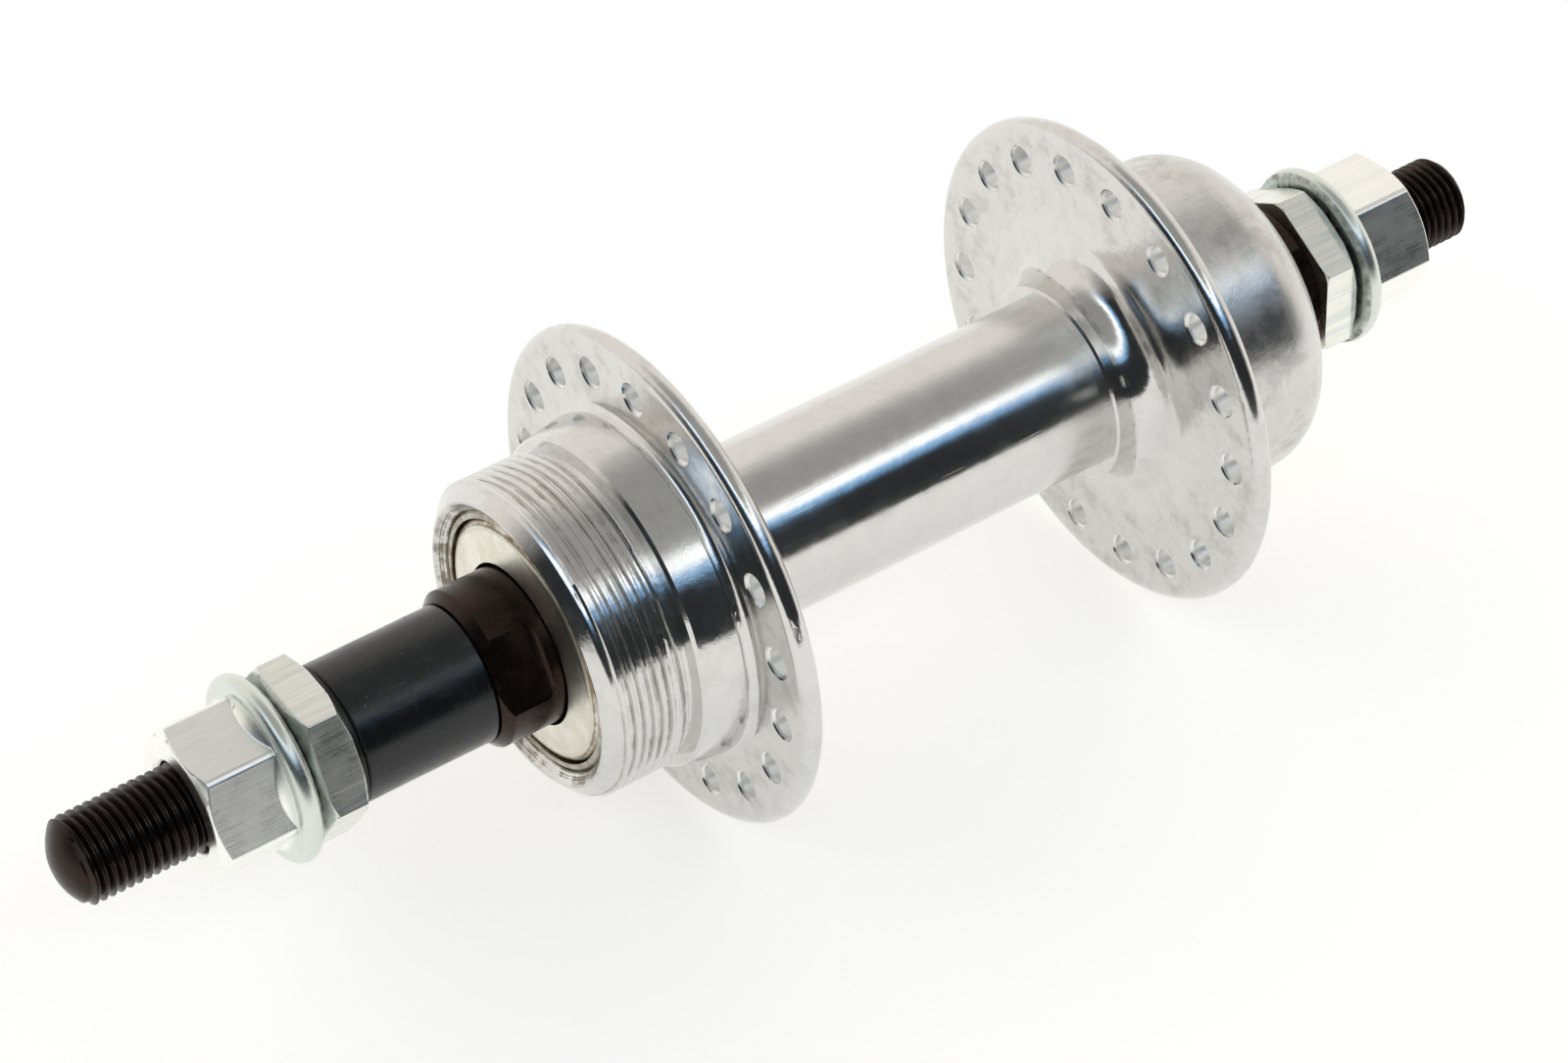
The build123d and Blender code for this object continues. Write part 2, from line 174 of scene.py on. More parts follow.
class Metal(Tree):
    # A Principled material with the places on the hub that its pattern needs.
    def __init__(self, name, metallic, specular=0.5):
        self.material = bpy.data.materials.new(name)
        super().__init__(self.material)
        self.shader = self.nodes["Principled BSDF"]
        self.shader.inputs["Metallic"].default_value = metallic
        self.shader.inputs["Specular IOR Level"].default_value = specular
        self.place = self.add("ShaderNodeTexCoord", output="Object")
        self.along = self.add("ShaderNodeSeparateXYZ", {0: self.place}, output="Y")
        flat = self.stretched(self.place, (1, 0, 1))
        self.radius = self.add(
            "ShaderNodeVectorMath", {0: flat}, output="Value", operation="LENGTH"
        )
        self.outward = self.maths("ABSOLUTE", self.along)
        self.turned = self.add("ShaderNodeCombineXYZ", {0: self.radius, 1: self.along})

    def zone(self, value, start, end, edge):
        # 1 between start and end, with soft edges. All in millimetres.
        return self.times(self.beyond(value, start, edge), self.before(value, end, edge))

    def beyond(self, value, place, edge):
        return self.step(value, (place - edge) * MM, (place + edge) * MM)

    def before(self, value, place, edge):
        return self.step(value, (place - edge) * MM, (place + edge) * MM, 1.0, 0.0)

    def finish(self, colour, roughness, normal):
        self.connect(colour, self.shader.inputs["Base Color"])
        self.connect(roughness, self.shader.inputs["Roughness"])
        self.connect(normal, self.shader.inputs["Normal"])
        return self.material


def wear(piece, material):
    # A CAD node is given by its name, a new piece by itself.
    if isinstance(piece, str):
        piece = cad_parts[piece]
    if not piece.material_slots:
        piece.data.materials.append(None)
    for slot in piece.material_slots:
        slot.material = material


print("node kit ready")

# %% [markdown]
# ## The room that the chrome reflects
#
# The hub lies on a white table. Behind the camera the room is dark, and above that dark part is
# a cold, bright window. The chrome shows all of it: each rounded surface has one black band
# with a white, blue-edged streak over it, and is pale everywhere else. A world shader can give
# that room as a function of direction, which is cheaper than building it, and the camera
# itself sees plain white instead.

# %% World
white = (1.0, 1.0, 1.0, 1.0)
dark_side_azimuth = -34.0
dark_side_half_width = 89.0
dark_side_edge = 17.0
dark_room_colour = (0.030, 0.032, 0.034, 1.0)
pale_wall_colour = (0.97, 0.93, 0.88, 1.0)
ceiling_colour = (0.38, 0.38, 0.37, 1.0)
window_colour = (1.75, 1.8, 1.8, 1.0)
window_edge_colour = (0.30, 0.62, 1.05, 1.0)
dark_room_top = (35.0, 44.0)
window_edge_height = (43.0, 50.0)
window_top = (52.0, 61.0)
wall_top = (36.0, 68.0)


def rises(tree, height, elevations):
    # Grows from 0 to 1 between two elevations, given in degrees.
    start, end = (sin(radians(elevation)) for elevation in elevations)
    return tree.step(height, start, end)


def falls(tree, height, elevations):
    # The same, from 1 down to 0.
    start, end = (sin(radians(elevation)) for elevation in elevations)
    return tree.step(height, start, end, 1.0, 0.0)


def room_light():
    world = bpy.data.worlds.new("studio")
    bpy.context.scene.world = world
    tree = Tree(world)
    direction = tree.add("ShaderNodeTexCoord", output="Generated")
    height = tree.add("ShaderNodeSeparateXYZ", {0: direction}, output="Z")
    level = tree.stretched(direction, (1, 1, 0))
    level = tree.add("ShaderNodeVectorMath", {0: level}, operation="NORMALIZE")
    towards = (cos(radians(dark_side_azimuth)), sin(radians(dark_side_azimuth)), 0)
    facing = tree.add(
        "ShaderNodeVectorMath", {0: level, 1: towards}, output="Value", operation="DOT_PRODUCT"
    )
    side = tree.step(
        facing,
        cos(radians(dark_side_half_width + dark_side_edge)),
        cos(radians(dark_side_half_width - dark_side_edge)),
    )
    room = tree.blend(rises(tree, height, wall_top), pale_wall_colour, ceiling_colour)
    in_window = rises(tree, height, window_edge_height)
    window = tree.blend(in_window, window_edge_colour, window_colour)
    lit_side = tree.blend(falls(tree, height, window_top), room, window)
    dark_side = tree.blend(falls(tree, height, dark_room_top), lit_side, dark_room_colour)
    seen = tree.blend(side, room, dark_side)
    camera_ray = tree.add("ShaderNodeLightPath", output="Is Camera Ray")
    shown = tree.blend(camera_ray, seen, white)
    tree.connect(shown, tree.nodes["Background"].inputs["Color"])
    return world


room_light()
print("room: dark from the table to", dark_room_top[0], "degrees up, on one side")

# %% [markdown]
# ## The table
#
# The flanges rest on a white sheet. To the camera and to the chrome it is as bright as the
# white background, but it still darkens under the hub, because part of its light is ordinary
# light that falls on it and is shaded there.

# %% Table
table_size = 6.0
table_colour = (0.84, 0.83, 0.80, 1.0)
glow_colour = (1.0, 0.985, 0.955, 1.0)
glow_strength = 0.54


def paper_finish():
    material = bpy.data.materials.new("white_paper")
    tree = Tree(material)
    shader = tree.nodes["Principled BSDF"]
    shader.inputs["Base Color"].default_value = table_colour
    shader.inputs["Roughness"].default_value = 0.9
    shader.inputs["Specular IOR Level"].default_value = 0.1
    place = tree.add("ShaderNodeTexCoord", output="Object")
    grain = tree.noise(place, scale=900, detail=4)
    tree.connect(tree.bump(grain, depth=0.02 * MM), shader.inputs["Normal"])
    camera_ray = tree.add("ShaderNodeLightPath", output="Is Camera Ray")
    glossy_ray = tree.add("ShaderNodeLightPath", output="Is Glossy Ray")
    seen = tree.maths("MAXIMUM", camera_ray, glossy_ray)
    shader.inputs["Emission Color"].default_value = glow_colour
    tree.connect(tree.times(seen, glow_strength), shader.inputs["Emission Strength"])
    return material


def lay_table():
    shape = bmesh.new()
    bmesh.ops.create_grid(shape, x_segments=4, y_segments=4, size=table_size / 2)
    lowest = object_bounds()[0].z
    bmesh.ops.translate(shape, verts=shape.verts, vec=(0, 0, lowest))
    mesh = bpy.data.meshes.new("table")
    shape.to_mesh(mesh)
    shape.free()
    table = bpy.data.objects.new("table", mesh)
    bpy.context.scene.collection.objects.link(table)
    mesh.materials.append(paper_finish())
    table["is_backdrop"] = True
    return table


table = lay_table()
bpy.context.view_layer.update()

# %% [markdown]
# ## Cutting a thread
#
# A thread is one short profile that swings round the axle while it moves along it. The spin
# operator does both at once: `dvec` is how far each step moves. That makes one turn, which is
# copied one pitch further on again and again. Each copy starts where the last one ended, so
# merging the doubles gives one unbroken crest. Separate circles would be grooves, not a thread.
# The ends are cut square with a plane and closed with rings, drawn in from the cut edge.

# %% Thread tools
merge_distance = 0.001 * MM
root_wider_by = 1.4


def swept_thread(crest, root, pitch, start, end, steps, flat):
    # A right-hand thread about Y, past both ends. Its crest and root have flats as wide as
    # the given share of the pitch.
    crest_flat = flat * pitch
    root_flat = root_wider_by * flat * pitch
    turns = int((end - start) / pitch) + 3
    first = start - 1.5 * pitch
    profile = (
        (root_flat / 2, root),
        ((pitch - crest_flat) / 2, crest),
        ((pitch + crest_flat) / 2, crest),
        (pitch - root_flat / 2, root),
        (pitch + root_flat / 2, root),
    )
    shape = bmesh.new()
    points = [shape.verts.new((radius, first + along, 0)) for along, radius in profile]
    edges = [shape.edges.new(pair) for pair in zip(points, points[1:])]
    bmesh.ops.spin(
        shape,
        geom=points + edges,
        axis=(0, 1, 0),
        dvec=(0, pitch / steps, 0),
        angle=2 * pi,
        steps=steps,
    )
    one_turn = shape.verts[:] + shape.edges[:] + shape.faces[:]
    for turn in range(1, turns):
        copy = bmesh.ops.duplicate(shape, geom=one_turn)["geom"]
        moved = [item for item in copy if isinstance(item, bmesh.types.BMVert)]
        bmesh.ops.translate(shape, verts=moved, vec=(0, turn * pitch, 0))
    bmesh.ops.remove_doubles(shape, verts=shape.verts, dist=merge_distance)
    return shape


def set_radius(verts, radius_at):
    # Moves each point straight in to the radius that belongs to its place along the axle.
    for vert in verts:
        radius = hypot(vert.co.x, vert.co.z)
        share = min(1.0, radius_at(vert.co.y) / radius)
        vert.co.x *= share
        vert.co.z *= share


def cut_square(shape, place, keep_beyond=None):
    # With no side to keep, this only draws an edge all round.
    bmesh.ops.bisect_plane(
        shape,
        geom=shape.verts[:] + shape.edges[:] + shape.faces[:],
        plane_co=(0, place, 0),
        plane_no=(0, 1, 0),
        clear_inner=keep_beyond is True,
        clear_outer=keep_beyond is False,
    )
    return [edge for edge in shape.edges if edge.is_boundary and is_at(edge, place)]


def is_at(edge, place):
    return all(abs(vert.co.y - place) < merge_distance for vert in edge.verts)


def draw_ring(shape, edges, radius, place):
    # Pulls a new ring out of an open edge.
    made = bmesh.ops.extrude_edge_only(shape, edges=edges)["geom"]
    for vert in (item for item in made if isinstance(item, bmesh.types.BMVert)):
        share = radius / hypot(vert.co.x, vert.co.z)
        vert.co = (vert.co.x * share, place, vert.co.z * share)
    return [item for item in made if isinstance(item, bmesh.types.BMEdge) and is_at(item, place)]


def finished_piece(shape, name, body, sharp_angle, material_slot, *nodes):
    bmesh.ops.remove_doubles(shape, verts=shape.verts, dist=merge_distance)
    bmesh.ops.recalc_face_normals(shape, faces=shape.faces)
    open_edges = sum(not edge.is_manifold for edge in shape.edges)
    mesh = bpy.data.meshes.new(name)
    shape.to_mesh(mesh)
    shape.free()
    mesh.shade_smooth()
    mesh.set_sharp_from_angle(angle=radians(sharp_angle))
    piece = bpy.data.objects.new(name, mesh)
    bpy.context.scene.collection.objects.link(piece)
    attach(piece, body)
    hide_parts(*nodes)
    print(name, "has", len(mesh.polygons), "faces and", open_edges, "open edges")
    return piece


# %% [markdown]
# ## The axle
#
# The axle is a 3/8 inch rod with 26 threads to the inch at both ends and a plain, slightly
# thinner middle. Each tip is a shallow dome, and the thread runs out on it. Both ends have the
# same right-hand thread, so the second end is the first one turned round, never mirrored.

# %% Threaded axle
axle_pitch = 25.4 / 26 * MM
axle_crest = 4.7 * MM
axle_root = 4.12 * MM
axle_shank = 4.3 * MM
axle_shank_end = 14.0 * MM
axle_dome = 6.5 * MM
dome_rings = 6
run_out_share = 0.97
axle_sharp_angle = 35


def axle_end(tip):
    dome_centre = tip - axle_dome

    def surface(along):
        on_step = axle_shank + along - axle_shank_end
        past = max(0.0, along - dome_centre)
        on_dome = sqrt(max(axle_dome ** 2 - past ** 2, merge_distance ** 2))
        return min(on_step, on_dome)

    thread_stop = dome_centre + sqrt(axle_dome ** 2 - (run_out_share * axle_root) ** 2)
    thread_start = axle_shank_end + axle_crest - axle_shank
    shape = swept_thread(
        axle_crest, axle_root, axle_pitch, thread_start, thread_stop, steps=48, flat=0.13
    )
    cut_square(shape, thread_start, keep_beyond=True)
    set_radius(shape.verts, surface)
    edge = cut_square(shape, thread_stop, keep_beyond=False)
    set_radius({vert for item in edge for vert in item.verts}, surface)
    stop_angle = atan2(surface(thread_stop), thread_stop - dome_centre)
    for ring in range(dome_rings - 1, 0, -1):
        angle = stop_angle * ring / dome_rings
        edge = draw_ring(shape, edge, axle_dome * sin(angle), dome_centre + axle_dome * cos(angle))
    pole = bmesh.ops.extrude_edge_only(shape, edges=edge)["geom"]
    pole = [item for item in pole if isinstance(item, bmesh.types.BMVert)]
    bmesh.ops.pointmerge(shape, verts=pole, merge_co=(0, tip, 0))
    inner = [item for item in shape.edges if item.is_boundary]
    draw_ring(shape, inner, axle_shank, axle_shank_end)
    return shape


def threaded_axle():
    drive_end, other_end = (abs(corner.y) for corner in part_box("axle"))
    shape = axle_end(other_end)
    turned_end = axle_end(drive_end)
    half = bpy.data.meshes.new("axle_half")
    turned_end.to_mesh(half)
    turned_end.free()
    half.transform(Matrix.Rotation(pi, 4, "Z"))
    shape.from_mesh(half)
    bpy.data.meshes.remove(half)
    inner = [item for item in shape.edges if item.is_boundary]
    bmesh.ops.bridge_loops(shape, edges=inner)
    return finished_piece(
        shape, "threaded_axle", "axle_set", axle_sharp_angle, "black_oxide", "axle"
    )


axle = threaded_axle()

# %% [markdown]
# ## The threaded boss
#
# The freewheel screws on the boss, over a thread of 24 to the inch. The CAD shell has a smooth
# cylinder there, so this piece is a copy of that shell, cut off square in the relief groove, with
# a new front that starts with the swept thread and goes on over the bevel into the mouth.
# The loose triangles of the CAD mesh are merged first, and that loses its exact normals. In a
# mirror finish even a small error shows, so the untouched part takes them from the CAD mesh again.

# %% Threaded boss
boss_pitch = 25.4 / 24 * MM
boss_crest = 17.4 * MM
boss_root = 17.0 * MM
boss_relief = 16.9 * MM
boss_bore = 14.397 * MM
boss_bevel_length = 1.5 * MM
boss_rim_outer = 15.6 * MM
boss_rim_inner = 15.4 * MM
boss_thread_length = 8.9 * MM
boss_run_out = 0.6 * MM
relief_cut = 0.4 * MM
seam_gap = 0.15 * MM
same_direction = 0.9999
shell_sharp_angle = 30


def merged_copy(node):
    shape = bmesh.new()
    shape.from_mesh(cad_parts[node].data)
    bmesh.ops.remove_doubles(shape, verts=shape.verts, dist=merge_distance)
    return shape


def place_key(point):
    return tuple(round(value / merge_distance) for value in point)


def copy_normals(piece, node):
    # Each corner of the piece takes the normal of the CAD corner at the same point whose face
    # turns the same way. A corner that the CAD mesh hasn't got keeps its own smooth normal.
    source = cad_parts[node].data
    known = {}
    for face in source.polygons:
        for corner in face.loop_indices:
            point = source.vertices[source.loops[corner].vertex_index].co
            pair = (face.normal.copy(), source.corner_normals[corner].vector.copy())
            known.setdefault(place_key(point), []).append(pair)
    mesh = piece.data
    normals = [Vector() for loop in mesh.loops]
    for face in mesh.polygons:
        for corner in face.loop_indices:
            point = mesh.vertices[mesh.loops[corner].vertex_index].co
            for face_normal, normal in known.get(place_key(point), ()):
                if face_normal.dot(face.normal) > same_direction:
                    normals[corner] = normal
    mesh.normals_split_custom_set(normals)


def boss_front(front):
    # The front is drawn with +Y outwards and turned to the drive side at the end.
    bevel_start = front - boss_bevel_length
    thread_start = front - boss_thread_length
    bevel_slope = (boss_crest - boss_rim_outer) / boss_bevel_length

    def surface(along):
        on_bevel = boss_crest - bevel_slope * max(0.0, along - bevel_start)
        return min(on_bevel, boss_relief + along - thread_start)

    thread_stop = bevel_start + boss_run_out
    shape = swept_thread(
        boss_crest, boss_root, boss_pitch, thread_start, thread_stop, steps=120, flat=0.24
    )
    cut_square(shape, thread_start, keep_beyond=True)
    cut_square(shape, bevel_start)
    set_radius(shape.verts, surface)
    edge = cut_square(shape, thread_stop, keep_beyond=False)
    set_radius({vert for item in edge for vert in item.verts}, surface)
    seam = thread_start - relief_cut + seam_gap
    for radius, place in (
        (boss_rim_outer, front),
        (boss_rim_inner, front),
        (boss_bore, front - (boss_rim_inner - boss_bore)),
        (boss_bore, seam),
    ):
        edge = draw_ring(shape, edge, radius, place)
    back = [item for item in shape.edges if item.is_boundary and is_at(item, thread_start)]
    draw_ring(shape, back, boss_relief, seam)
    mesh = bpy.data.meshes.new("boss_front")
    shape.to_mesh(mesh)
    shape.free()
    mesh.transform(Matrix.Rotation(pi, 4, "Z"))
    return mesh


def between(edges, low, high):
    return [
        item for item in edges
        if all(low < hypot(vert.co.x, vert.co.z) < high for vert in item.verts)
    ]


def threaded_shell():
    front = -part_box("drive_flange_shell")[0].y
    cut = front - boss_thread_length - relief_cut
    shape = merged_copy("drive_flange_shell")
    cut_square(shape, -cut, keep_beyond=True)
    new_front = boss_front(front)
    shape.from_mesh(new_front)
    bpy.data.meshes.remove(new_front)
    open_edges = [item for item in shape.edges if item.is_boundary]
    middle = (boss_bore + boss_relief) / 2
    bmesh.ops.bridge_loops(shape, edges=between(open_edges, middle, boss_crest))
    bmesh.ops.bridge_loops(shape, edges=between(open_edges, 0, middle))
    piece = finished_piece(
        shape,
        "threaded_flange_shell",
        "hub_shell",
        shell_sharp_angle,
        "polished_chrome",
        "drive_flange_shell",
    )
    copy_normals(piece, "drive_flange_shell")
    return piece


drive_shell = threaded_shell()

# %% [markdown]
# ## Nuts with worn edges
#
# No edge on a real nut is sharp: tumbling and plating leave a tiny round on it, and the thin line
# of light that runs along that round is what makes it look like a real nut. The copies of the
# nuts are merged, their flat faces are joined to one face each, and the crisp edges of the
# hexagon are bevelled. The teeth under the flange keep the form that the CAD gives them.

# %% Worn nuts
edge_round = 0.13 * MM
nut_sharp_angle = 40
crisp_angle = radians(22)
flat_angle = radians(0.5)
teeth_reach = 0.75 * MM
hexagon_reach = 7.0 * MM


def rounds_over(edge, innermost, outward_from):
    # A crisp outer edge, away from the teeth.
    if edge.calc_face_angle(0.0) < crisp_angle:
        return False
    return all(
        hypot(vert.co.x, vert.co.z) > innermost and abs(vert.co.y) > outward_from
        for vert in edge.verts
    )


def worn_nut(node, body, outward_from=0.0):
    shape = merged_copy(node)
    bmesh.ops.dissolve_limit(
        shape, angle_limit=flat_angle, verts=shape.verts, edges=shape.edges
    )
    crisp = [edge for edge in shape.edges if rounds_over(edge, hexagon_reach, outward_from)]
    bmesh.ops.bevel(
        shape,
        geom=crisp,
        affect="EDGES",
        offset_type="OFFSET",
        offset=edge_round,
        segments=2,
        profile=0.5,
        material=-1,
    )
    piece = finished_piece(shape, "worn_" + node, body, nut_sharp_angle, "zinc_plate", node)
    weighted = piece.modifiers.new("flat_faces", "WEIGHTED_NORMAL")
    weighted.keep_sharp = True
    return piece


def nearest_end(node):
    return min(abs(corner.y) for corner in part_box(node))


axle_nuts = []
for side in sides:
    nut = f"{side}_axle_nut"
    axle_nuts.append(worn_nut(nut, f"{side}_nut", nearest_end(nut) + teeth_reach))
locknuts = [worn_nut(f"{side}_locknut", "axle_set") for side in sides]

# %% [markdown]
# ## Chrome
#
# Chrome plate is a mirror over polished steel. The barrel was polished along its length, so its
# scratches and faint waves run along the axle, and a noise that is stretched in that direction
# gives both. The steel under the plate is never quite smooth, and a low, wide ripple in the
# normals breaks the edge of each reflection, which is what tells chrome from glass.

# %% Barrel chrome
chrome_colour = (0.70, 0.695, 0.68, 1.0)
chrome_stain = (0.52, 0.51, 0.48, 1.0)
polishing = (1.0, 0.03, 1.0)
hazy_middle = 24.0
hazy_edge = 6.0
haze = 0.1


def barrel_chrome():
    metal = Metal("barrel_chrome", metallic=1.0)
    lines = metal.stretched(metal.place, polishing)
    fine = metal.noise(lines, scale=5200, detail=5, roughness=0.7)
    broad = metal.noise(lines, scale=700)
    cloud = metal.noise(metal.place, scale=210, detail=4)
    smudge = metal.noise(metal.place, scale=480, detail=5, roughness=0.65)
    smudge = metal.step(smudge, start=0.45, end=0.62)
    scratch = metal.step(metal.noise(lines, scale=2600, detail=2), start=0.67, end=0.72)
    streaks = metal.times(fine, broad)
    dull_clouds = metal.step(cloud, start=0.35, end=0.7, low=0.12, high=0.19)
    dull_streaks = metal.step(streaks, start=0.2, end=0.5, low=0.0, high=0.06)
    by_collar = metal.times(metal.beyond(metal.along, hazy_middle, hazy_edge), haze)
    roughness = metal.plus(metal.plus(dull_clouds, dull_streaks), by_collar)
    normal = metal.bump(metal.plus(fine, metal.times(broad, 1.5)), depth=0.0016 * MM)
    normal = metal.bump(scratch, depth=0.003 * MM, normal=normal)
    normal = metal.bump(cloud, depth=0.035 * MM, normal=normal)
    stain = metal.step(streaks, start=0.3, end=0.7, low=0.0, high=0.3)
    stain = metal.plus(stain, metal.times(smudge, 0.14))
    colour = metal.blend(stain, chrome_colour, chrome_stain)
    return metal.finish(colour, roughness, normal)


wear("hub_barrel", barrel_chrome())
print("barrel finished")

# %% [markdown]
# ## Shell chrome
#
# A flange is turned on a lathe, so its marks are rings. Turned marks come from a noise that
# reads only the distance from the axle and along it. The flat faces are duller than the rest
# and look smoky, the rims and the flares are bright. The walls of the spoke holes are rougher
# and painted much paler than the chrome, a painted light that keeps the holes bright inside.
# On top of this the boss carries grease round its mouth and in its thread, and the bell
# was never polished as finely as the rest.

# %% Shell chrome
smoke_colour = (0.42, 0.415, 0.39, 1.0)
# Much paler than the chrome: a painted light that keeps the spoke holes bright inside.
hole_wall_painted_light = (0.96, 0.96, 0.94, 1.0)
flange_face_end = 26.3
flange_face_edge = 0.9
hole_wall_inset = 0.15
hole_wall_edge = 0.05
hole_wall_haze = 0.3
face_haze = 0.05
wiping = (1.0, 1.0, 0.12)


class ShellChrome(Metal):
    # A flange is given by the radius where its flat face starts and the places of both faces.
    def __init__(self, name, face_start, inner_face, outer_face):
        super().__init__(name, metallic=1.0)
        self.face = self.zone(self.radius, face_start, flange_face_end, flange_face_edge)
        walls = self.zone(
            self.outward,
            inner_face + hole_wall_inset,
            outer_face - hole_wall_inset,
            hole_wall_edge,
        )
        self.hole_walls = self.times(self.face, walls)
        self.cloud = self.noise(self.place, scale=210, detail=5, roughness=0.6)
        self.patches = self.noise(self.place, scale=620, detail=5, roughness=0.65)
        dull = self.step(self.patches, start=0.3, end=0.7, low=0.35, high=1.0)
        self.dull_face = self.times(self.face, dull)
        self.colour = self.shell_colour()
        self.roughness = self.shell_roughness()
        self.normal = self.shell_normal()

    def shell_colour(self):
        stain = self.step(self.patches, start=0.5, end=0.7, low=0.0, high=0.2)
        stain = self.plus(self.times(self.dull_face, 0.2), stain)
        colour = self.blend(stain, chrome_colour, chrome_stain)
        smoke = self.noise(self.place, scale=260, detail=6, roughness=0.7)
        smoke = self.step(smoke, start=0.47, end=0.66)
        smoke = self.times(smoke, self.step(self.face, start=0, end=1, low=0.2, high=0.55))
        colour = self.blend(smoke, colour, smoke_colour)
        # Painted light: the walls of the spoke holes take a much paler colour.
        return self.blend(self.hole_walls, colour, hole_wall_painted_light)

    def shell_roughness(self):
        roughness = self.step(self.cloud, start=0.38, end=0.66, low=0.11, high=0.19)
        roughness = self.plus(roughness, self.times(self.dull_face, face_haze))
        return self.plus(roughness, self.times(self.hole_walls, hole_wall_haze))

    def shell_normal(self):
        rings = self.noise(self.turned, scale=4200, detail=4, roughness=0.7)
        on_face = self.step(self.face, start=0, end=1, low=1.0, high=2.4)
        patches = self.times(self.patches, on_face)
        wiped = self.stretched(self.place, wiping)
        scratch = self.step(self.noise(wiped, scale=900), start=0.66, end=0.71)
        normal = self.bump(rings, depth=0.0016 * MM)
        normal = self.bump(patches, depth=0.009 * MM, normal=normal)
        normal = self.bump(self.cloud, depth=0.05 * MM, normal=normal)
        return self.bump(scratch, depth=0.004 * MM, normal=normal)

    def finished(self):
        return self.finish(self.colour, self.roughness, self.normal)


print("shell chrome ready")

# %% [markdown]
# ### The greasy boss
#
# Years of grease have dried in streaks round the mouth, and dirt has packed into the bottom of
# the thread. Both are strongest where a fine noise of rings and a coarse one of spots agree.

# %% Drive side of the shell
grease_colour = (0.17, 0.135, 0.075, 1.0)
drive_flange = {"face_start": 19.8, "inner_face": 18.4, "outer_face": 20.7}
thread_back = 27.6
thread_front = 35.4
thread_edge = 0.3
thread_depth_middle = 17.15
thread_depth_edge = 0.12
mouth_start = 35.5
mouth_start_edge = 0.6
mouth_radius = 15.475
mouth_radius_edge = 0.275
smear_share = 0.85
packed_share = 0.45
dirt_haze = 0.3


def boss_chrome():
    metal = ShellChrome("drive_shell_chrome", **drive_flange)
    front = metal.beyond(metal.outward, mouth_start, mouth_start_edge)
    inside = metal.before(metal.radius, mouth_radius, mouth_radius_edge)
    streaks = metal.plus(
        metal.noise(metal.turned, scale=1900, detail=3, roughness=0.6),
        metal.noise(metal.place, scale=330, detail=4, roughness=0.65),
    )
    smear = metal.times(metal.times(front, inside), metal.step(streaks, start=0.92, end=1.12))
    thread = metal.zone(metal.outward, thread_back, thread_front, thread_edge)
    deep = metal.before(metal.radius, thread_depth_middle, thread_depth_edge)
    nicks = metal.plus(
        metal.noise(metal.turned, scale=2600, detail=3, roughness=0.6),
        metal.noise(metal.place, scale=300, detail=5, roughness=0.7),
    )
    nicks = metal.times(thread, metal.step(nicks, start=0.95, end=1.15))
    packed = metal.times(deep, nicks)
    dirt = metal.plus(metal.times(smear, smear_share), metal.times(packed, packed_share))
    metal.colour = metal.blend(dirt, metal.colour, grease_colour)
    metal.roughness = metal.plus(metal.roughness, metal.times(dirt, dirt_haze))
    metal.normal = metal.bump(nicks, depth=0.005 * MM, normal=metal.normal)
    return metal.finished()


wear(drive_shell, boss_chrome())
print("drive side of the shell finished")

# %% [markdown]
# ### The satin bell
#
# The bell has a fine grain under its chrome. It spreads each highlight into a patch of sparks.

# %% Other side of the shell
other_flange = {"face_start": 17.5, "inner_face": 35.6, "outer_face": 37.9}
bell_start = 39.0
bell_start_edge = 0.6
bell_bore = 15.2
bell_bore_edge = 0.3
satin_haze = 0.1


def bell_chrome():
    metal = ShellChrome("other_shell_chrome", **other_flange)
    bell = metal.beyond(metal.outward, bell_start, bell_start_edge)
    outside = metal.beyond(metal.radius, bell_bore, bell_bore_edge)
    satin = metal.times(bell, outside)
    grain = metal.noise(metal.place, scale=6000, detail=3, roughness=0.7)
    grain = metal.times(satin, grain)
    metal.roughness = metal.plus(metal.roughness, metal.times(satin, satin_haze))
    metal.normal = metal.bump(grain, depth=0.014 * MM, normal=metal.normal)
    return metal.finished()


wear("non_drive_flange_shell", bell_chrome())
print("other side of the shell finished")

# %% [markdown]
# ## Zinc plated nuts
#
# The nuts and locknuts are cut from drawn hexagon bar and plated with pale zinc. The flats keep
# the fine lines of the drawing, which run along the axle. The flange and the faces that touch
# are painted greener and darker than the flats, a painted shade. The locknut chamfer and the teeth
# are rougher and carry dark patches that are partly grime and partly painted shade in the gap.

# %% Zinc
nut_colour = (1.0, 1.0, 0.955, 1.0)
nut_shade = (0.92, 0.94, 0.91, 1.0)
locknut_colour = (0.93, 0.925, 0.86, 1.0)
locknut_shade = (0.76, 0.79, 0.76, 1.0)
# The darker, greener colour of the nut flange and the outer end of the locknut is a painted shade.
rim_painted_shade = (0.73, 0.77, 0.725, 1.0)
# Dark patches in the gap between nut and locknut, partly grime and partly painted shade.
grime_and_gap_shade = (0.075, 0.085, 0.06, 1.0)
locknut_face = -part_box("drive_locknut")[0].y / MM
# Each zone along the axle has a start, an end and a soft edge, in millimetres.
rim_zone = (locknut_face - 0.8, locknut_face + 3.2, 0.3)
chamfer_zone = (locknut_face - 0.75, locknut_face - 0.1, 0.12)
teeth_zone = (locknut_face + 0.5, locknut_face + 0.95, 0.12)
# Shares of those dark patches, partly grime and partly painted shade.
chamfer_grime_and_shade = 0.35
teeth_grime_and_shade = 0.75
grime_haze = 0.25


